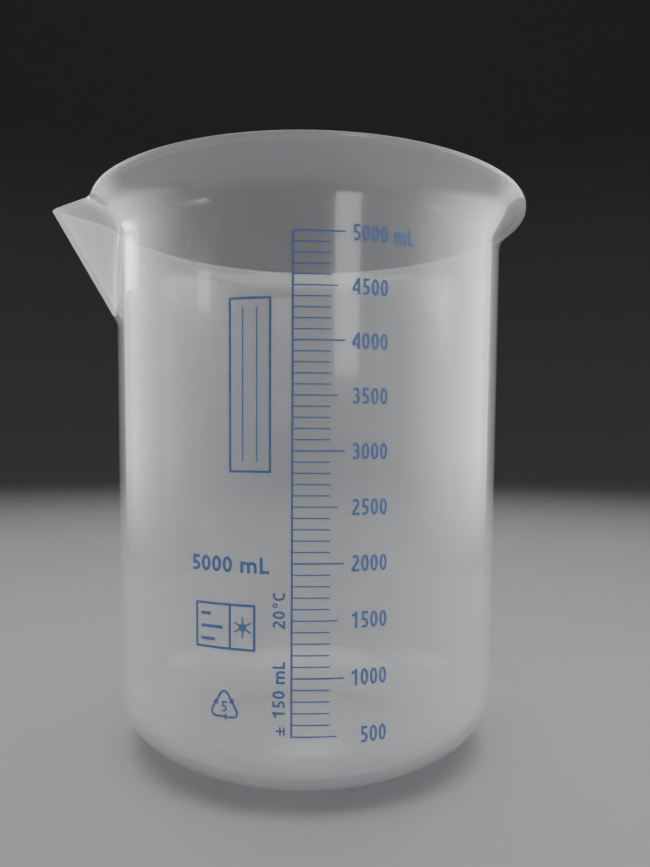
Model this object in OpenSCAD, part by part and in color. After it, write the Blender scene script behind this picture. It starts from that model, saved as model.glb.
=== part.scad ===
// Five litre laboratory beaker: one tapered plastic moulding with a flared lip and a V spout,
// and a screen-printed volume scale whose marks are separate islands of ink on the wall.
// +Z is up. The origin is on the axis in the plane of the standing ring. The spout points along -X.

/* [Body] */
// Outer diameter that the wall line reaches at the base plane
base_d = 175.2; // [150:0.2:220]
// Distance from the top line of the scale to the top of the lip
brim_gap = 31.7; // [25:0.1:60]
// Draft of the wall, outwards from the vertical, in degrees
wall_draft = 1.15; // [0.2:0.05:3]
// Thickness of the wall and of the lip
wall_t = 2.6; // [1.6:0.1:4]

/* [Base] */
// How far in from the wall line the rounded bottom corner reaches
corner_w = 36; // [15:1:45]
// How high the rounded bottom corner reaches
corner_h = 27; // [12:1:40]
// Width of the flat ring that the beaker stands on
ring_w = 6; // [3:0.5:12]
// Height of the domed push-up inside the standing ring
pushup_h = 11; // [4:0.5:16]
// Thickness of the floor
floor_t = 4.5; // [2:0.1:6]

/* [Lip] */
// How far the lip stands out from the wall line
lip_out = 11.7; // [5:0.1:18]
// Height of the flare, from the corner on the wall to the top
lip_h = 12; // [8:0.5:20]
// Height of the upright edge round the lip
lip_edge = 1.8; // [1:0.1:4]
// Length over which the wall rounds into the flare, on each side of the corner
lip_round = 8; // [3:0.5:9]

/* [Spout] */
// How far the tip of the spout stands out past the lip
spout_out = 18.9; // [8:0.1:30]
// Depth of the spout's keel below the top of the lip
spout_drop = 54.5; // [30:0.5:80]
// Full angle of the V, square to the keel
spout_vee = 99.5; // [80:0.5:120]
// Outer radius along the keel
spout_nose = 4; // [3:0.1:8]
// Wall thickness of the spout
spout_t = 2.4; // [1.5:0.1:2.8]

/* [Scale] */
// Angle round the axis from the spout to the upright line of the scale
scale_turn = 79.8; // [45:0.1:120]
// Distance from the top of the bottom corner to the lowest line
first_gap = 5.4; // [2:0.1:12]
// Length of the lines at each thousand
long_line = 19; // [12:0.1:24]
// Length of the lines at the odd five hundreds
middle_line = 16.5; // [10:0.1:20]
// Length of the lines at each hundred
short_line = 13.7; // [8:0.1:16]
// Width of the upright line
spine_w = 0.8; // [0.4:0.05:1.5]
// Width of the lines at each thousand
long_line_w = 0.65; // [0.3:0.05:1.2]
// Width of the other lines
short_line_w = 0.5; // [0.3:0.05:1]

/* [Print] */
// Thickness of the ink layer
ink_t = 0.15; // [0.1:0.01:0.4]
// Distance from the upright line to the numerals
numeral_u = 21.9; // [20:0.1:30]
// Height of the numerals
numeral_h = 6.2; // [4:0.1:8]
// Step from one numeral digit to the next
numeral_step = 3.65; // [3:0.05:5]
// Stroke width of the numerals
numeral_stroke = 0.95; // [0.5:0.05:1.2]
// Distance of the capacity mark's baseline below the 2000 mL line
capacity_drop = 4; // [0:0.1:6]
// Distance of the rating panel's lower edge above the 1200 mL line
rating_lift = 0.8; // [0:0.1:3]
// Distance of the resin triangle's lower edge above the 600 mL line
resin_lift = 0.9; // [0:0.1:3]
// Width of the write-on panel round the wall
write_w = 16.5; // [10:0.5:20]

/* [Hidden] */
$fn = 96;

plastic = [0.86, 0.87, 0.87, 0.75];
ink = [0.20, 0.33, 0.62];
over = 10; // how far a cutting shape passes the face that it opens
corner_steps = 14;
bend_steps = 8;
nose_steps = 6;
first_ml = 500;
last_ml = 5000;
line_step_ml = 100;

function wall_r(z) = base_d / 2 + z * tan(wall_draft);

// A line's height follows from the volume of the tapered bore between it and the lowest line
first_z = corner_h + first_gap;
first_r = wall_r(first_z) - wall_t;
function line_z(ml) = first_z + (pow(pow(first_r, 3) + 3 * tan(wall_draft) * (ml - first_ml) * 1000 / PI,
    1 / 3) - first_r) / tan(wall_draft);
height = line_z(last_ml) + brim_gap;
lip_r = wall_r(height) + lip_out;
ring_r = base_d / 2 - corner_w;
dome_r = ring_r - ring_w;
dome_ball = (dome_r * dome_r + pushup_h * pushup_h) / (2 * pushup_h);

// The outer outline where the wall bends into the lip, as [radius, height]
bend_low = [wall_r(height - lip_h - lip_round), height - lip_h - lip_round];
bend_mid = [wall_r(height - lip_h), height - lip_h];
lip_end = [lip_r, height - lip_edge];
lip_dir = (lip_end - bend_mid) / norm(lip_end - bend_mid);
bend_high = bend_mid + lip_round * lip_dir;
function bend(t) = (1 - t) * (1 - t) * bend_low + 2 * t * (1 - t) * bend_mid + t * t * bend_high;
function bend_slope(t) = (1 - t) * (bend_mid - bend_low) + t * (bend_high - bend_mid);
function inwards(v) = [-v[1], v[0]] / norm(v);
// The rounded bottom corner, from the height z at the standing ring up to the wall, moved in by inset
function corner(z, inset) = [for (i = [0:corner_steps])
    [ring_r + (wall_r(corner_h) - inset - ring_r) * sin(90 * i / corner_steps),
    z + (corner_h - z) * (1 - cos(90 * i / corner_steps))]];

// Spout geometry in the plane y = 0
tip_r = lip_r + spout_out;
keel_tilt = atan((tip_r - wall_r(height - spout_drop)) / spout_drop);
keel_l = spout_drop / cos(keel_tilt);
// The V's sides run on inside the wall, to two thirds of its radius at the top
vee_side = (tip_r - 2 / 3 * wall_r(height)) * cos(keel_tilt) / cos(spout_vee / 2);

// Print geometry
spine_turn = 180 + scale_turn;
spine_half = spine_w / 2 / wall_r(height / 2) * 180 / PI;
function turn_of(u, z) = spine_turn + u / wall_r(z) * 180 / PI;
digit_w = 0.82 * numeral_step;
ink_reach = 4; // half the length of the artwork's radial extrusion
spare = 1; // how far a patch of the ink layer passes the artwork that it holds
numeral_end = numeral_u + 4 * numeral_step;

// ---- vessel ----

module outer_body() {
    rotate_extrude()
        polygon(concat([[0, 0]], corner(0, 0),
            [for (i = [0:bend_steps]) bend(i / bend_steps)],
            [lip_end, [lip_r, height], [0, height]]));
}

module cavity() {
    lip_top = lip_end + wall_t * inwards(lip_dir);
    difference() {
        rotate_extrude()
            polygon(concat([[0, floor_t]],
                corner(floor_t, wall_t),
                [for (i = [0:bend_steps])
                    bend(i / bend_steps) + wall_t * inwards(bend_slope(i / bend_steps))],
                [lip_top + over * lip_dir, [0, lip_top[1] + over * lip_dir[1]]]));
        translate([0, 0, pushup_h - dome_ball])
            sphere(r = dome_ball + floor_t);
    }
}

// The V's cross-section square to the keel: its rounded nose touches x = 0, and it opens along +X
module vee(nose) {
    half = spout_vee / 2;
    arc = [for (i = [0:nose_steps]) 90 + half + (180 - 2 * half) * i / nose_steps];
    far = [nose, 0] + nose * [-sin(half), cos(half)] + vee_side * [cos(half), sin(half)];
    polygon(concat([far], [for (a = arc) nose * [1 + cos(a), sin(a)]], [[far[0], -far[1]]]));
}

// The V drawn out along the keel and past both its ends: inset moves it in from the outer faces
module vee_bar(inset) {
    translate([-tip_r, 0, height])
        rotate([0, -keel_tilt, 0])
            translate([inset, 0, -keel_l - over])
                linear_extrude(height = keel_l + 2 * over)
                    vee(spout_nose - inset);
}

module spout_body() {
    intersection() {
        vee_bar(0);
        translate([-tip_r - over, -tip_r, height - 2 * spout_drop])
            cube([tip_r + over, 2 * tip_r, 2 * spout_drop]);
    }
}

module vessel() {
    color(plastic)
        difference() {
            union() {
                outer_body();
                spout_body();
            }
            cavity();
            vee_bar(spout_t);
            translate([0, 0, pushup_h - dome_ball])
                sphere(r = dome_ball);
        }
}

// ---- ink on the wall ----

// A patch of the ink layer between two angles round the axis and two heights
module ink_between(turn0, turn1, z0, z1) {
    rotate([0, 0, turn0])
        rotate_extrude(angle = turn1 - turn0)
            polygon([[wall_r(z0), z0], [wall_r(z0) + ink_t, z0],
                [wall_r(z1) + ink_t, z1], [wall_r(z1), z1]]);
}

// The same patch, given by its distances along the wall from the upright line
module ink_patch(u0, u1, z0, z1) {
    ink_between(turn_of(u0, (z0 + z1) / 2), turn_of(u1, (z0 + z1) / 2), z0, z1);
}

// A window through the ink layer, placed in the same way about the height z_mid
module ink_window(u0, u1, z0, z1, z_mid) {
    rotate([0, 0, turn_of(u0, z_mid)])
        rotate_extrude(angle = turn_of(u1, z_mid) - turn_of(u0, z_mid))
            translate([wall_r(z_mid) - ink_reach, z0])
                square([2 * ink_reach, z1 - z0]);
}

// Flat artwork carried out through the ink layer at one place on the wall
module on_wall(u, z) {
    rotate([0, 0, turn_of(u, z)])
        translate([wall_r(z) - ink_reach, 0, z])
            rotate([90, 0, 90])
                linear_extrude(height = 2 * ink_reach)
                    children();
}

module scale_spine() {
    color(ink)
        ink_between(spine_turn - spine_half, spine_turn + spine_half,
            line_z(first_ml) - long_line_w / 2, line_z(last_ml) + long_line_w / 2);
}

module scale_line(ml, l, w) {
    start = spine_turn + spine_half;
    ink_between(start, start + l / wall_r(line_z(ml)) * 180 / PI, line_z(ml) - w / 2, line_z(ml) + w / 2);
}

module thousand_lines() {
    color(ink)
        for (ml = [first_ml:line_step_ml:last_ml])
            if (ml % 1000 == 0)
                scale_line(ml, long_line, long_line_w);
}

module five_hundred_lines() {
    color(ink)
        for (ml = [first_ml:line_step_ml:last_ml])
            if (ml % 1000 == 500)
                scale_line(ml, middle_line, short_line_w);
}

module hundred_lines() {
    color(ink)
        for (ml = [first_ml:line_step_ml:last_ml])
            if (ml % 500 != 0)
                scale_line(ml, short_line, short_line_w);
}

// ---- strokes and glyphs, each in a box w wide and h high with stroke width s ----

module stroke(a, b, s) {
    translate(a)
        rotate(atan2(b[1] - a[1], b[0] - a[0]))
            translate([0, -s / 2])
                square([norm(b - a), s]);
}

// A band s wide along an elliptical arc, measured at its outer edge
module arc_band(c, rx, rz, s, from, to) {
    steps = ceil(abs(to - from) / 20);
    outer = [for (i = [0:steps]) c + [rx * cos(from + (to - from) * i / steps),
        rz * sin(from + (to - from) * i / steps)]];
    inner = [for (i = [steps:-1:0]) c + [(rx - s) * cos(from + (to - from) * i / steps),
        (rz - s) * sin(from + (to - from) * i / steps)]];
    polygon(concat(outer, inner));
}

module oval(w, h) {
    polygon([for (i = [0:23]) [w / 2 * (1 + cos(15 * i)), h / 2 * (1 + sin(15 * i))]]);
}

module zero(w, h, s) {
    difference() {
        oval(w, h);
        translate([s, s])
            oval(w - 2 * s, h - 2 * s);
    }
}

module one(w, h, s) {
    translate([0.62 * w - s / 2, 0])
        square([s, h]);
    stroke([0.62 * w, h - 0.6 * s], [0.08 * w, 0.73 * h], 0.9 * s);
}

module two(w, h, s) {
    arc_band([0.47 * w, 0.7 * h], 0.49 * w, 0.3 * h, s, -35, 150);
    stroke([0.78 * w, 0.6 * h], [0.1 * w, 0.6 * s], s);
    square([w, s]);
}

module three(w, h, s) {
    arc_band([0.42 * w, 0.72 * h], 0.5 * w, 0.28 * h, s, -90, 140);
    arc_band([0.42 * w, 0.22 * h + s / 2], 0.56 * w, 0.22 * h + s / 2, s, -135, 90);
}

module four(w, h, s) {
    stroke([0.72 * w, h - 0.3 * s], [0.06 * w, 0.3 * h], s);
    translate([0, 0.22 * h])
        square([w, s]);
    translate([0.62 * w, 0])
        square([s, h]);
}

module five(w, h, s) {
    translate([0.14 * w, h - s])
        square([0.78 * w, s]);
    translate([0.14 * w, 0.5 * h])
        square([0.9 * s, 0.5 * h]);
    arc_band([0.42 * w, 0.31 * h], 0.56 * w, 0.31 * h, s, -130, 130);
}

module letter_m(w, h, s) {
    low = 0.72 * h;
    for (x = [0, (w - s) / 2, w - s])
        translate([x, 0])
            square([s, x == 0 ? low : low - 0.25 * w]);
    for (x = [0, (w - s) / 2])
        arc_band([x + (w + s) / 4, low - 0.26 * w], (w + s) / 4, 0.26 * w, s, 0, 180);
}

module letter_l(w, h, s) {
    square([s, h]);
    square([w, s]);
}

module letter_c(w, h, s) {
    arc_band([0.6 * w, h / 2], 0.6 * w, h / 2, s, 55, 305);
}

module degree_sign(w, h, s) {
    translate([0, h - w])
        zero(w, w, s);
}

module plus_minus(w, h, s) {
    square([w, s]);
    translate([0, 0.45 * h])
        square([w, s]);
    translate([(w - s) / 2, 0.45 * h + s / 2 - w / 2])
        square([s, w]);
}

module digit(d, w, h, s) {
    if (d == 0) zero(w, h, s);
    if (d == 1) one(w, h, s);
    if (d == 2) two(w, h, s);
    if (d == 3) three(w, h, s);
    if (d == 4) four(w, h, s);
    if (d == 5) five(w, h, s);
}

function digits_of(n) = n < 10 ? [n] : concat(digits_of(floor(n / 10)), [n % 10]);

// A whole number along the wall from u, with its baseline at z
module number_on_wall(n, u, z, w, h, s, step) {
    digits = digits_of(n);
    for (i = [0:len(digits) - 1])
        on_wall(u + (i + 0.5) * step, z)
            translate([-w / 2, 0])
                digit(digits[i], w, h, s);
}

// ---- numerals of the scale ----

module numeral(ml) {
    l = len(digits_of(ml)) * numeral_step;
    z = line_z(ml) - numeral_h / 2;
    color(ink)
        intersection() {
            ink_patch(numeral_end - l - spare, numeral_end + spare, z - spare, z + numeral_h + spare);
            number_on_wall(ml, numeral_end - l, z, digit_w, numeral_h, numeral_stroke, numeral_step);
        }
}

// The unit of volume along the wall from u, as a pair of letters m_w and l_w wide
module letters_ml(u, z, h, m_w, l_w, s) {
    on_wall(u + m_w / 2, z)
        translate([-m_w / 2, 0])
            letter_m(m_w, h, s);
    on_wall(u + m_w + s + l_w / 2, z)
        translate([-l_w / 2, 0])
            letter_l(l_w, h, s);
}

unit_u = numeral_end + 2.6;
unit_m_w = 4.7;
unit_l_w = 2.6;

module unit_mark() {
    z = line_z(last_ml) - numeral_h / 2;
    color(ink)
        intersection() {
            ink_patch(unit_u - spare, unit_u + unit_m_w + numeral_stroke + unit_l_w + spare,
                z - spare, z + numeral_h + spare);
            letters_ml(unit_u, z, numeral_h, unit_m_w, unit_l_w, numeral_stroke);
        }
}

// ---- capacity, tolerance and temperature marks ----

capacity_z = line_z(2000) - capacity_drop;
capacity_u = -40.8;
capacity_h = 6;
capacity_step = 4.55;
capacity_w = 3.9;
capacity_stroke = 1.15;
capacity_m_w = 6.4;
capacity_l_w = 3.6;

module capacity_mark() {
    unit_start = capacity_u + 4 * capacity_step + 3;
    color(ink)
        intersection() {
            ink_patch(capacity_u - spare, unit_start + capacity_m_w + capacity_stroke + capacity_l_w + spare,
                capacity_z - spare, capacity_z + capacity_h + spare);
            union() {
                number_on_wall(last_ml, capacity_u, capacity_z, capacity_w, capacity_h,
                    capacity_stroke, capacity_step);
                letters_ml(unit_start, capacity_z, capacity_h, capacity_m_w, capacity_l_w, capacity_stroke);
            }
        }
}

legend_u = -2.4; // where the baselines of the upward-reading marks lie
legend_h = 4.7;
legend_w = 2.9;
legend_stroke = 0.85;
legend_step = 3.6;
legend_z = first_z + 0.4;

// Artwork turned to read up the wall, starting at height z
module upwards(z) {
    on_wall(legend_u, z)
        rotate(90)
            children();
}

// The digits of a number one above the other up the wall, the first one starting at z
module number_upwards(n, z) {
    digits = digits_of(n);
    for (i = [0:len(digits) - 1])
        upwards(z + legend_step * i)
            digit(digits[i], legend_w, legend_h, legend_stroke);
}

// The patch of ink that holds l of upward-reading artwork from z
module legend_patch(z, l) {
    ink_patch(legend_u - legend_h - spare, legend_u + spare, z - spare, z + l + spare);
}

module tolerance_mark() {
    m_w = 4.8;
    l_w = 2.5;
    number_start = legend_z + 6.4;
    m_start = number_start + 12.7;
    l_start = m_start + m_w + legend_stroke;
    color(ink)
        intersection() {
            legend_patch(legend_z, l_start + l_w - legend_z);
            union() {
                upwards(legend_z)
                    plus_minus(3.2, 3.4, 0.65);
                number_upwards(150, number_start);
                upwards(m_start)
                    letter_m(m_w, legend_h, legend_stroke);
                upwards(l_start)
                    letter_l(l_w, legend_h, legend_stroke);
            }
        }
}

module temperature_mark() {
    start = legend_z + 39.6;
    degree_start = start + 7.6;
    degree_w = 1.9;
    c_start = degree_start + degree_w + 0.8;
    c_w = 3.2;
    color(ink)
        intersection() {
            legend_patch(start, c_start + c_w - start);
            union() {
                number_upwards(20, start);
                upwards(degree_start)
                    degree_sign(degree_w, legend_h, 0.5);
                upwards(c_start)
                    letter_c(c_w, legend_h, legend_stroke);
            }
        }
}

// ---- rating panel ----

rating_z = line_z(1200) + rating_lift;
rating_u = -38.5;
rating_w = 24.9;
rating_h = 17.5;
rating_split = 14.7; // from the left edge to the divider
rating_line = 0.95;

module rating_frame() {
    top = rating_z + rating_h;
    z_mid = rating_z + rating_h / 2;
    color(ink)
        difference() {
            ink_patch(rating_u, rating_u + rating_w, rating_z, top);
            for (cell = [[rating_line, rating_split - rating_line / 2],
                [rating_split + rating_line / 2, rating_w - rating_line]])
                ink_window(rating_u + cell[0], rating_u + cell[1],
                    rating_z + rating_line, top - rating_line, z_mid);
        }
}

bar_margin = 2.4; // from the left edge of the panel to the bars
bar_w = 1.2;
bar_rows = [[2.9, 6], [7.7, 9.3], [12.5, 4.2]]; // each bar's height in the panel and its length

module rating_bars() {
    u = rating_u + bar_margin;
    color(ink)
        for (row = bar_rows)
            ink_patch(u, u + row[1], rating_z + row[0], rating_z + row[0] + bar_w);
}

star_l = 7.6;
star_line = 0.6;
star_r = 1.5;

module rating_star() {
    u = rating_u + (rating_split + rating_w) / 2;
    z = rating_z + rating_h / 2;
    reach = star_l / 2 + spare;
    color(ink)
        intersection() {
            ink_patch(u - reach, u + reach, z - reach, z + reach);
            on_wall(u, z)
                union() {
                    circle(r = star_r);
                    for (a = [30:60:150])
                        rotate(a)
                            square([star_l, star_line], center = true);
                }
        }
}

// ---- resin mark: three chasing arrows round a numeral ----

resin_z = line_z(600) + resin_lift;
resin_u = -26;
resin_side = 14.6; // side of the outline triangle before its corners are rounded
resin_line = 0.85;
resin_in_r = resin_side / sqrt(12); // from its centre to a side
resin_bend = 2.2;
resin_tail = 2.6;
resin_leg = 3;
resin_head = 2;

// One arrow: a corner bent round, with a tail down its left side and a headed leg down its right
module resin_arrow() {
    bend_c = [0, 2 * resin_in_r - 2 * resin_bend];
    left = bend_c + (resin_bend - resin_line / 2) * [cos(150), sin(150)];
    right = bend_c + (resin_bend - resin_line / 2) * [cos(30), sin(30)];
    down = [cos(300), sin(300)];
    barb = 1.3 * [cos(30), sin(30)];
    head = right + (resin_leg - resin_line / 2) * down;
    arc_band(bend_c, resin_bend, resin_bend, resin_line, 30, 150);
    stroke(left, left + resin_tail * [cos(240), sin(240)], resin_line);
    stroke(right, right + resin_leg * down, resin_line);
    polygon([head + barb, head - barb, head + resin_head * down]);
}

module resin_triangle() {
    z = resin_z + resin_in_r;
    reach = 2 * resin_in_r;
    color(ink)
        intersection() {
            ink_patch(resin_u - reach, resin_u + reach, z - reach, z + reach);
            on_wall(resin_u, z)
                for (a = [0:120:240])
                    rotate(a)
                        resin_arrow();
        }
}

module resin_numeral() {
    h = 4;
    w = 2.4;
    s = 0.65;
    z = resin_z + resin_in_r - h / 2;
    color(ink)
        intersection() {
            ink_patch(resin_u - w / 2 - spare, resin_u + w / 2 + spare, z - spare, z + h + spare);
            on_wall(resin_u, z)
                translate([-w / 2, 0])
                    five(w, h, s);
        }
}

// ---- write-on panel ----

write_z = line_z(2800);
write_l = line_z(4400) - write_z;
write_u = -7.9; // its right-hand edge
write_line = 0.9;
rule_w = 0.5;
rule_margin = 4; // from the ends of the panel to the rules

module write_on_frame() {
    color(ink)
        difference() {
            ink_patch(write_u - write_w, write_u, write_z, write_z + write_l);
            ink_window(write_u - write_w + write_line, write_u - write_line,
                write_z + write_line, write_z + write_l - write_line, write_z + write_l / 2);
        }
}

module write_on_rules() {
    color(ink)
        for (i = [1:2])
            ink_patch(write_u - i * write_w / 3 - rule_w / 2, write_u - i * write_w / 3 + rule_w / 2,
                write_z + rule_margin, write_z + write_l - rule_margin);
}

vessel();
scale_spine();
thousand_lines();
five_hundred_lines();
hundred_lines();
numeral(500);  // numeral_500
numeral(1000);  // numeral_1000
numeral(1500);  // numeral_1500
numeral(2000);  // numeral_2000
numeral(2500);  // numeral_2500
numeral(3000);  // numeral_3000
numeral(3500);  // numeral_3500
numeral(4000);  // numeral_4000
numeral(4500);  // numeral_4500
numeral(5000);  // numeral_5000
unit_mark();
capacity_mark();
tolerance_mark();
temperature_mark();
rating_frame();
rating_bars();
rating_star();
resin_triangle();
resin_numeral();
write_on_frame();
write_on_rules();
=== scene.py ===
import math

import bpy
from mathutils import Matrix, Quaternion, Vector


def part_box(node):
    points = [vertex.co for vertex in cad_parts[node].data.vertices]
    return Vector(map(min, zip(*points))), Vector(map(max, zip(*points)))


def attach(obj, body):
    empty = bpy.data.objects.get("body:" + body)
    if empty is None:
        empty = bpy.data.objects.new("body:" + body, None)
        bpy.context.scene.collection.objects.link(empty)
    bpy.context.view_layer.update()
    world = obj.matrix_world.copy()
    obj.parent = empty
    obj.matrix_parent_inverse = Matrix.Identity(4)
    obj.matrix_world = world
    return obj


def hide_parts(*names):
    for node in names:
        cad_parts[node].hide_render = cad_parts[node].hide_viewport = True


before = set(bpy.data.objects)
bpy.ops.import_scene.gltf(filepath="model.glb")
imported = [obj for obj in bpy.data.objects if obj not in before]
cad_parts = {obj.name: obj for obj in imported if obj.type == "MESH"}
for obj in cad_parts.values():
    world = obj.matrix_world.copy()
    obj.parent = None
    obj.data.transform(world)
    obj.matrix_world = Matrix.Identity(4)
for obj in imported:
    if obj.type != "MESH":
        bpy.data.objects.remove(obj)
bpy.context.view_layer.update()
vesselLow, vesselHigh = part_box("vessel")
print("frame loaded:", len(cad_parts), "nodes")

camera = {
    "place": (-0.03923, -0.34428, 0.14140),
    "looks": (0.1372, 0.9905, 0.0127),
    "roll": 0.0047,
    "lens": 28.85,
    "sensor": 36,
    "nearest": 0.01,
}


def addCamera():
    data = bpy.data.cameras.new("camera")
    data.lens = camera["lens"]
    data.sensor_width = camera["sensor"]
    data.clip_start = camera["nearest"]
    eye = bpy.data.objects.new("camera", data)
    bpy.context.scene.collection.objects.link(eye)
    eye.location = camera["place"]
    turn = Vector(camera["looks"]).to_track_quat("-Z", "Y")
    eye.rotation_euler = (turn @ Quaternion((0, 0, 1), camera["roll"])).to_euler()
    bpy.context.scene.camera = eye


addCamera()
print("camera placed")


def deselectAll():
    if bpy.context.object and bpy.context.object.mode != "OBJECT":
        bpy.ops.object.mode_set(mode="OBJECT")
    bpy.ops.object.select_all(action="DESELECT")


def makeActive(piece):
    deselectAll()
    piece.select_set(True)
    bpy.context.view_layer.objects.active = piece


def settle(piece):  # the piece's place goes into its mesh
    makeActive(piece)
    bpy.ops.object.transform_apply(location=True, rotation=True, scale=True)


def selectWhere(piece, kind, test):  # in edit mode, the faces or edges whose corners pass the test
    bpy.ops.object.mode_set(mode="EDIT")
    bpy.ops.mesh.select_mode(type=kind)
    bpy.ops.mesh.select_all(action="DESELECT")
    bpy.ops.object.mode_set(mode="OBJECT")
    points = piece.data.vertices
    for part in piece.data.polygons if kind == "FACE" else piece.data.edges:
        part.select = test([points[index].co for index in part.vertices])
    bpy.ops.object.mode_set(mode="EDIT")


# the vessel is one skin, spun from a drawn profile and then pulled out into the spout
vessel = {
    "baseRadius": 0.0876,
    "draft": math.radians(1.15),
    "wall": 0.0026,
    "ringOuter": 0.0516,
    "ringInner": 0.0456,
    "ringRound": 0.0004,
    "pushup": 0.011,
    "floor": 0.0045,
    "domeSteps": 14,
    "cornerHeight": 0.027,
    "cornerSteps": 20,
    "flareHeight": 0.012,
    "flareRound": 0.008,
    "roundSteps": 10,
    "lipEdge": 0.0018,
    "edgeRound": 0.00045,
    "edgeSteps": 4,
    "fineFrom": 0.190,  # above this height the rows are close together
    "fineRow": 0.0011,
    "coarseRow": 0.012,
    "mergeWithin": 0.00001,
    "sharpest": math.radians(50),  # edges that turn more than this stay crisp
}

spout = {
    "vee": math.radians(99.5),
    "drop": 0.0545,
    "nose": 0.004,
    "wall": 0.0024,
    "blend": 0.0014,  # how softly the spout runs into the wall
    "reach": math.radians(30),
    # each stretch of the spin: how many degrees round it goes, and in how many steps
    "stretches": [(21, 34), (6, 24), (21, 34), (312, 130)],
}

top = vesselHigh.z
lipRadius = vesselHigh.x
tipRadius = -vesselLow.x
domeBall = (vessel["ringInner"] ** 2 + vessel["pushup"] ** 2) / (2 * vessel["pushup"])


def wallRadius(z):
    return vessel["baseRadius"] + z * math.tan(vessel["draft"])


def wallPoint(z, inset):
    return wallRadius(z) - inset, z


def domeHeight(r, above):  # the height at a radius of the domed base, or of the floor above it
    return vessel["pushup"] - domeBall + math.sqrt((domeBall + above) ** 2 - r ** 2)


def along(start, end, step):  # points from start up to but not including end
    count = max(1, round(math.dist(start, end) / step))
    return [tuple(a + (b - a) * i / count for a, b in zip(start, end)) for i in range(count)]


def cornerPoints(z, inset):
    reach = wallRadius(vessel["cornerHeight"]) - inset - vessel["ringOuter"]
    rise = vessel["cornerHeight"] - z
    steps = vessel["cornerSteps"]
    angles = [math.pi / 2 * i / steps for i in range(steps)]
    return [(vessel["ringOuter"] + reach * math.sin(a), z + rise * (1 - math.cos(a))) for a in angles]


def flareCurve():  # where the wall bends into the lip: its low, corner and high points, then the lip's end
    bendHeight = top - vessel["flareHeight"]
    low = wallPoint(bendHeight - vessel["flareRound"], 0)
    corner = wallPoint(bendHeight, 0)
    end = (lipRadius, top - vessel["lipEdge"])
    length = math.dist(corner, end)
    run = ((end[0] - corner[0]) / length, (end[1] - corner[1]) / length)
    high = tuple(c + vessel["flareRound"] * d for c, d in zip(corner, run))
    return low, corner, high, end, run


def bendPoints(inset):
    low, corner, high = flareCurve()[:3]
    points = []
    for i in range(vessel["roundSteps"] + 1):
        t = i / vessel["roundSteps"]
        place = [(1 - t) ** 2 * a + 2 * t * (1 - t) * b + t * t * c for a, b, c in zip(low, corner, high)]
        slope = [(1 - t) * (b - a) + t * (c - b) for a, b, c in zip(low, corner, high)]
        size = math.hypot(*slope)
        points.append((place[0] - inset * slope[1] / size, place[1] + inset * slope[0] / size))
    return points


def outerRows():
    end, run = flareCurve()[3:]
    bend = bendPoints(0)
    wallFoot = wallPoint(vessel["cornerHeight"], 0)
    fineFoot = wallPoint(vessel["fineFrom"], 0)
    r = vessel["edgeRound"]
    edgeFoot = (end[0] - r * run[0], end[1] - r * run[1])
    points = cornerPoints(0, 0)
    points += along(wallFoot, fineFoot, vessel["coarseRow"])
    points += along(fineFoot, bend[0], vessel["fineRow"])
    points += bend
    points += along(bend[-1], edgeFoot, vessel["fineRow"])[1:]
    points += [edgeFoot, (end[0] - r / 5, end[1] + r / 10), (end[0], end[1] + r)]  # the lip's softened corner
    return points


# a row of the skin is its radius, its height, how far it lies inside the wall's face, and which face that is
def edgeRows():  # the rounded top of the lip
    end, run = flareCurve()[3:]
    r = vessel["edgeRound"]
    wall = vessel["wall"]
    # the inner face is the lip's sloping face moved in by the wall; this is its radius at the very top
    innerTop = end[0] - wall * run[1] + (top - end[1] - wall * run[0]) * run[0] / run[1]
    outer = []
    inner = []
    for i in range(vessel["edgeSteps"] + 1):
        a = math.pi / 2 * i / vessel["edgeSteps"]
        drop = r * (1 - math.sin(a))
        inset = r * (1 - math.cos(a))
        outer.append((lipRadius - inset, top - drop, inset, "outer"))
        inner.append((innerTop - drop * run[0] / run[1] + inset, top - drop, inset, "inner"))
    return outer + inner[::-1]


def innerRows():
    wall = vessel["wall"]
    bend = bendPoints(wall)
    lipFoot = edgeRows()[-1][:2]
    fineFoot = wallPoint(vessel["fineFrom"], wall)
    wallFoot = wallPoint(vessel["cornerHeight"], wall)
    points = along(bend[-1], lipFoot, vessel["fineRow"])[:0:-1]
    points += bend[::-1]
    points += along(bend[0], fineFoot, vessel["fineRow"])[1:]
    points += along(fineFoot, wallFoot, vessel["coarseRow"])
    points += [wallFoot] + cornerPoints(vessel["floor"], wall)[::-1]
    return points


def vesselProfile():  # from the axis under the dome, round the wall and the lip, to the axis above the dome
    steps = vessel["domeSteps"]
    floorBall = domeBall + vessel["floor"]
    floorEdge = math.sqrt(floorBall ** 2 - (floorBall - vessel["pushup"]) ** 2)
    ringRound = vessel["ringRound"]
    radii = [vessel["ringInner"] * i / steps for i in range(steps)]
    rows = [(r, domeHeight(r, 0), 0, "base") for r in radii]
    rows.append((vessel["ringInner"] - ringRound, ringRound / 3, 0, "base"))  # the ring's softened edge
    rows.append((vessel["ringInner"] + ringRound, 0, 0, "base"))
    rows += [(r, z, 0, "outer") for r, z in outerRows()]
    rows += edgeRows()
    rows += [(r, z, 0, "inner") for r, z in innerRows()]
    radii = [floorEdge * i / steps for i in range(steps, -1, -1)]
    rows += [(r, domeHeight(r, vessel["floor"]), 0, "base") for r in radii]
    return rows


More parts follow.
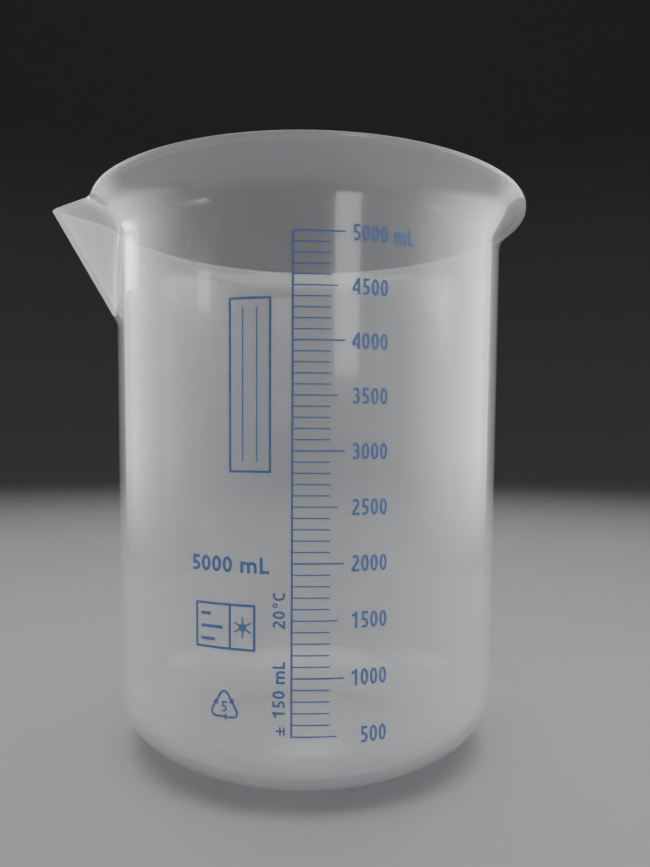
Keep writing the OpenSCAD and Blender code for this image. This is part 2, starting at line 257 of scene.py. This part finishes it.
def drawProfile(rows, startAngle):  # a single point, extruded from row to row
    deselectAll()
    bpy.ops.mesh.primitive_plane_add(size=vessel["wall"], location=(0, 0, rows[0][1]))
    piece = bpy.context.object
    settle(piece)
    bpy.ops.object.mode_set(mode="EDIT")
    bpy.ops.mesh.select_all(action="SELECT")
    bpy.ops.mesh.merge(type="CENTER")
    before = rows[0]
    for row in rows[1:]:
        out = row[0] - before[0]
        step = (out * math.cos(startAngle), out * math.sin(startAngle), row[1] - before[1])
        bpy.ops.mesh.extrude_region_move(TRANSFORM_OT_translate={"value": step})
        before = row
    return piece


def spinProfile():
    bpy.ops.mesh.select_all(action="SELECT")
    for degrees, steps in spout["stretches"]:
        bpy.ops.mesh.spin(steps=steps, angle=math.radians(degrees), center=(0, 0, 0), axis=(0, 0, 1))
    bpy.ops.mesh.select_all(action="SELECT")
    bpy.ops.mesh.remove_doubles(threshold=vessel["mergeWithin"])
    bpy.ops.mesh.normals_make_consistent(inside=False)
    bpy.ops.object.mode_set(mode="OBJECT")


def keelTilt():  # the spout's front edge leans out from the wall by this angle
    return math.atan((tipRadius - wallRadius(top - spout["drop"])) / spout["drop"])


def veeDepth(y, nose):  # how far behind the front edge the V's side is, at the same height
    half = spout["vee"] / 2
    turnEnd = nose * math.cos(half)
    if abs(y) < turnEnd:
        depth = nose - math.sqrt(nose ** 2 - y ** 2)
    else:
        depth = (abs(y) - turnEnd) / math.tan(half) + nose * (1 - math.sin(half))
    return depth / math.cos(keelTilt())


def softMax(a, b, softness):
    share = min(1, max(0, 0.5 + 0.5 * (a - b) / softness))
    return b + (a - b) * share + softness * share * (1 - share)


def pullSpout(piece, rows):
    rows = [row for row in rows if row[1] > vessel["fineFrom"] - vessel["fineRow"]]
    levelWall = spout["wall"] / math.cos(keelTilt())
    moved = 0
    for vertex in piece.data.vertices:
        x, y, z = vertex.co
        if z < vessel["fineFrom"] or x > 0 or abs(math.atan2(y, -x)) > spout["reach"]:
            continue
        radius = math.hypot(x, y)
        inset, skin = min(rows, key=lambda row: abs(row[0] - radius) + abs(row[1] - z))[2:]
        keel = tipRadius - (top - z) * math.tan(keelTilt())
        if skin == "outer":
            side = keel - inset - veeDepth(y, spout["nose"])
        else:
            side = keel - levelWall + inset - veeDepth(y, spout["nose"] - spout["wall"])
        vertex.co.x = -softMax(side, -x, spout["blend"])
        moved += 1
    return moved


def buildVessel():
    rows = vesselProfile()
    spoutTurn = sum(stretch[0] for stretch in spout["stretches"][:3])  # all but the plain round wall
    piece = drawProfile(rows, math.pi - math.radians(spoutTurn) / 2)
    spinProfile()
    moved = pullSpout(piece, rows)
    piece.name = piece.data.name = "vesselMoulding"
    makeActive(piece)
    bpy.ops.object.shade_smooth_by_angle(angle=vessel["sharpest"])
    print("vessel:", len(rows), "rows,", len(piece.data.polygons), "faces,", moved, "points pulled")
    return piece


vesselPiece = buildVessel()


class Flow:  # one output of a node, for use in sums
    def __init__(self, shading, socket):
        self.shading = shading
        self.socket = socket

    def maths(self, operation, first, second):
        return self.shading.add("ShaderNodeMath", {"operation": operation}, {0: first, 1: second})

    def __add__(self, other):
        return self.maths("ADD", self, other)

    def __radd__(self, other):
        return self.maths("ADD", other, self)

    def __rsub__(self, other):
        return self.maths("SUBTRACT", other, self)

    def __mul__(self, other):
        return self.maths("MULTIPLY", self, other)


class Shading:  # a material and its node tree
    def __init__(self, name):
        self.material = bpy.data.materials.new(name)
        self.material.use_nodes = True
        self.tree = self.material.node_tree
        self.tree.nodes.clear()

    def add(self, kind, settings=None, values=None, out=0):
        made = self.tree.nodes.new(kind)
        for key, value in (settings or {}).items():
            setattr(made, key, value)
        for key, value in (values or {}).items():
            if isinstance(value, Flow):
                self.tree.links.new(value.socket, made.inputs[key])
            else:
                made.inputs[key].default_value = value
        return Flow(self, made.outputs[out]) if len(made.outputs) else made

    def place(self):
        return self.add("ShaderNodeTexCoord", out="Object")

    def axis(self, place, letter):
        return self.add("ShaderNodeSeparateXYZ", None, {"Vector": place}, out=letter)

    def noise(self, place, scale, detail):
        values = {"Vector": place, "Scale": scale, "Detail": detail}
        return self.add("ShaderNodeTexNoise", None, values, out="Fac")

    def between(self, value, low, high):  # 0 at low, 1 at high, smooth between
        settings = {"interpolation_type": "SMOOTHSTEP"}
        values = {"Value": value, "From Min": low, "From Max": high}
        return self.add("ShaderNodeMapRange", settings, values, out="Result")

    def mixColours(self, share, first, second):  # the colours are the node's inputs 6 and 7 and its output 2
        values = {0: share, 6: first, 7: second}
        return self.add("ShaderNodeMix", {"data_type": "RGBA"}, values, out=2)

    def bump(self, height, strength, distance):
        values = {"Height": height, "Strength": strength, "Distance": distance}
        return self.add("ShaderNodeBump", None, values)

    def finish(self, surface):
        self.add("ShaderNodeOutputMaterial", None, {"Surface": surface})
        return self.material


milkyPlastic = {
    "colour": (0.80, 0.81, 0.83, 1),
    "haze": (0.74, 0.75, 0.78, 1),
    # painted highlight: the lip's top gets this paler colour, as if its edge were lit
    "edge": (0.86, 0.87, 0.89, 1),
    "wallCover": 0.32,  # how much of the light one skin of the wall stops
    "floorCover": 0.55,
    "edgeCover": 0.38,
    "cloudCover": 0.02,
    "swirlCover": 0.03,
    "roughness": 0.15,
    "swirlRoughness": 0.06,
    "scuffRoughness": 0.14,
    "index": 1.49,
    "specular": 1.0,
    "coat": 1.0,  # the polished skin, whose gloss the clear share would otherwise weaken
    "coatRoughness": 0.05,
    "coatIndex": 1.6,
    "edgeDepth": 0.0017,
    "edgeFade": 0.0002,
    "floorFade": (0.004, 0.024),  # heights between which the thick floor gives way to the wall
    "scuffHeight": 0.0035,  # the base is scuffed below this height by the benches it has stood on
    "cloudScale": 16,
    "cloudFade": (0.35, 0.65),
    "cloudTint": 0.5,
    "grainScale": 900,
    "grainHeight": 0.04,
    "scuffFade": (0.4, 0.6),
    "swirlStretch": (34, 34, 5),  # flow marks of the moulding, drawn out upwards
    "bump": (0.05, 0.0008),  # strength and depth
}


def makeMilkyPlastic():
    values = milkyPlastic
    shading = Shading("milkyPlastic")
    place = shading.place()
    height = shading.axis(place, "Z")
    cloud = shading.noise(place, values["cloudScale"], detail=3)
    cloud = shading.between(cloud, *values["cloudFade"])
    grain = shading.noise(place, values["grainScale"], detail=2)
    stretched = shading.add("ShaderNodeMapping", None, {"Vector": place, "Scale": values["swirlStretch"]})
    swirl = shading.noise(stretched, scale=1, detail=3)
    edgeHeight = top - values["edgeDepth"]
    # lipEdge marks the top of the lip: there the plastic is more opaque because it is thick, and its colour
    # is painted paler as a highlight of the lit edge
    lipEdge = shading.between(height, edgeHeight - values["edgeFade"], edgeHeight)
    floor = 1 - shading.between(height, *values["floorFade"])
    scuff = shading.between(grain, *values["scuffFade"])
    scuff = scuff * (1 - shading.between(height, 0, values["scuffHeight"]))
    colour = shading.mixColours(cloud * values["cloudTint"], values["colour"], values["haze"])
    # painted highlight: the lip's top is mixed paler
    colour = shading.mixColours(lipEdge, colour, values["edge"])
    cover = values["wallCover"] + cloud * values["cloudCover"] + swirl * values["swirlCover"]
    cover = cover + floor * (values["floorCover"] - values["wallCover"])
    cover = cover + lipEdge * (values["edgeCover"] - values["wallCover"])
    roughness = values["roughness"] + swirl * values["swirlRoughness"] + scuff * values["scuffRoughness"]
    surface = shading.add("ShaderNodeBsdfPrincipled", None, {
        "Base Color": colour,
        "Roughness": roughness,
        "IOR": values["index"],
        "Specular IOR Level": values["specular"],
        "Coat Weight": values["coat"],
        "Coat Roughness": values["coatRoughness"],
        "Coat IOR": values["coatIndex"],
        "Normal": shading.bump(swirl + grain * values["grainHeight"], *values["bump"]),
    })
    clear = shading.add("ShaderNodeBsdfTransparent", None, {"Color": (1, 1, 1, 1)})
    return shading.finish(shading.add("ShaderNodeMixShader", None, {0: cover, 1: clear, 2: surface}))


screenInk = {
    "colour": (0.140, 0.260, 0.60, 1),
    "thin": (0.230, 0.350, 0.68, 1),
    "roughness": 0.42,
    "weaveRoughness": 0.12,
    "densityScale": 260,
    "densityFade": (0.3, 0.7),
    "densityTint": 0.6,
    "weaveScale": 2600,  # marks left by the weave of the printing screen
    "bump": (0.15, 0.00005),  # strength and depth
}


def makeScreenInk():
    values = screenInk
    shading = Shading("screenInk")
    place = shading.place()
    density = shading.noise(place, values["densityScale"], detail=3)
    density = shading.between(density, *values["densityFade"])
    weave = shading.noise(place, values["weaveScale"], detail=1)
    surface = shading.add("ShaderNodeBsdfPrincipled", None, {
        "Base Color": shading.mixColours(density * values["densityTint"], values["colour"], values["thin"]),
        "Roughness": values["roughness"] + weave * values["weaveRoughness"],
        "Normal": shading.bump(weave, *values["bump"]),
    })
    return shading.finish(surface)


plasticMaterial = makeMilkyPlastic()
inkMaterial = makeScreenInk()
print("materials made")

vesselPiece.data.materials.clear()
vesselPiece.data.materials.append(plasticMaterial)
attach(vesselPiece, "root")
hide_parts("vessel")
for name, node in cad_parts.items():
    for materialSlot in node.material_slots:
        materialSlot.material = plasticMaterial if name == "vessel" else inkMaterial
print("pieces dressed")

# a round floor that bends up into a wall
sweep = {
    "sides": 128,
    "radius": 3.2,
    "height": 3.0,
    "bend": 1.1,
    "bendSteps": 14,
    "colour": (0.80, 0.80, 0.81, 1),
    "shade": (0.76, 0.76, 0.77, 1),
    "shadeShare": 0.3,
    "shadeScale": 3,
    "roughness": 0.6,
    "farShadeColour": (0.30, 0.30, 0.31, 1),
    "farShadeFade": (0.7, 2.4),  # painted shade: the floor darkens into the wall between these distances
}


def makePaleFloor():
    shading = Shading("paleFloor")
    place = shading.place()
    distance = shading.add("ShaderNodeVectorMath", {"operation": "LENGTH"}, {0: place}, out="Value")
    cloud = shading.noise(place, sweep["shadeScale"], detail=2)
    colour = shading.mixColours(cloud * sweep["shadeShare"], sweep["colour"], sweep["shade"])
    # painted shade: the colour darkens with distance from the middle, up into the wall
    colour = shading.mixColours(shading.between(distance, *sweep["farShadeFade"]), colour, sweep["farShadeColour"])
    surface = shading.add("ShaderNodeBsdfPrincipled", None, {
        "Base Color": colour,
        "Roughness": sweep["roughness"],
    })
    return shading.finish(surface)


def addSweep():
    deselectAll()
    height = sweep["height"]
    bpy.ops.mesh.primitive_cylinder_add(
        vertices=sweep["sides"], radius=sweep["radius"], depth=height, location=(0, 0, height / 2)
    )
    floor = bpy.context.object
    floor.name = "floor"
    settle(floor)
    selectWhere(floor, "FACE", lambda corners: min(corner.z for corner in corners) > height / 2)
    bpy.ops.mesh.delete(type="FACE")
    selectWhere(floor, "EDGE", lambda ends: max(end.z for end in ends) < height / 2)
    bpy.ops.mesh.bevel(offset=sweep["bend"], segments=sweep["bendSteps"], affect="EDGES")
    bpy.ops.mesh.select_all(action="SELECT")
    bpy.ops.mesh.normals_make_consistent(inside=True)
    bpy.ops.object.mode_set(mode="OBJECT")
    bpy.ops.object.shade_smooth()
    floor.data.materials.append(makePaleFloor())


# a softbox stands upright on each side of the line of sight; its near side, top and foot fade out
softbox = {
    "sightAngle": math.radians(83.5),
    "aside": 0.45,
    "height": 0.876,
    "nearFade": 0.8,  # share of the width
    "topFade": 0.30,
    "footFade": 0.14,
    # name: which side, its near end, its far end, brightness
    "sides": {"leftSoftbox": (1, -0.28, 0.328, 3.6), "rightSoftbox": (-1, -0.40, 0.300, 4.5)},
}


def makeSoftGlow(name, width, brightness):
    shading = Shading(name)
    place = shading.place()
    across = shading.axis(place, "X")
    up = shading.axis(place, "Y")
    half = softbox["height"] / 2
    glow = shading.between(across, -width / 2, (softbox["nearFade"] - 0.5) * width)
    glow = glow * shading.between(up, -half, softbox["footFade"] - half)
    glow = glow * (1 - shading.between(up, half - softbox["topFade"], half))
    values = {"Color": (1, 1, 1, 1), "Strength": glow * brightness}
    return shading.finish(shading.add("ShaderNodeEmission", None, values))


def addSoftbox(name, lit, side, near, far, brightness):
    deselectAll()
    sight = softbox["sightAngle"]
    across = sight + side * math.pi / 2
    back = (far + near) / 2
    spot = (
        back * math.cos(sight) + softbox["aside"] * math.cos(across),
        back * math.sin(sight) + softbox["aside"] * math.sin(across),
        softbox["height"] / 2,
    )
    bpy.ops.mesh.primitive_plane_add(size=1, location=spot, rotation=(math.pi / 2, 0, sight))
    panel = bpy.context.object
    panel.name = name
    panel.scale = (far - near, softbox["height"], 1)
    bpy.ops.object.transform_apply(location=False, rotation=False, scale=True)
    panel.data.materials.append(makeSoftGlow(name, far - near, brightness))
    panel.visible_camera = False
    panel.visible_shadow = False
    panel.light_linking.receiver_collection = lit


studio = {
    "worldColour": (0.060, 0.060, 0.063, 1),
    "worldStrength": 1.0,
    # name: place, looks at, width, height, power
    "lights": {
        "overhead": ((0, 0, 1.6), (0, 0, 0), 1.5, 1.5, 15),
        "window": ((0.284, -1.166, 0.45), (0, 0, 0.2), 0.28, 0.44, 1.4),
        "leftLamp": ((-0.644, -0.275, 0.312), (0, 0, 0.2), 0.20, 0.05, 0.12),
        "rightLamp": ((0.637, -0.290, 0.312), (0, 0, 0.2), 0.20, 0.05, 0.12),
        "spoutStrip": ((-0.416, 0.239, 0.32), (-0.09, 0.01, 0.25), 0.12, 0.055, 0.20),
    },
}


def addLamp(name, place, target, width, height, power):
    data = bpy.data.lights.new(name, "AREA")
    data.shape = "RECTANGLE"
    data.size = width
    data.size_y = height
    data.energy = power
    lamp = bpy.data.objects.new(name, data)
    bpy.context.scene.collection.objects.link(lamp)
    lamp.visible_camera = False
    lamp.location = place
    lamp.rotation_euler = (Vector(target) - Vector(place)).to_track_quat("-Z", "Y").to_euler()
    return lamp


def addLights():  # all but the overhead light leave the floor alone, so it stays even
    lit = bpy.data.collections.new("beaker")
    for piece in [vesselPiece, *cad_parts.values()]:
        lit.objects.link(piece)
    for name, values in studio["lights"].items():
        lamp = addLamp(name, *values)
        if name != "overhead":
            lamp.light_linking.receiver_collection = lit
    for name, values in softbox["sides"].items():
        addSoftbox(name, lit, *values)
    world = bpy.data.worlds.new("studio")
    world.use_nodes = True
    background = world.node_tree.nodes["Background"]
    background.inputs["Color"].default_value = studio["worldColour"]
    background.inputs["Strength"].default_value = studio["worldStrength"]
    bpy.context.scene.world = world


addSweep()
addLights()
print("studio lit")
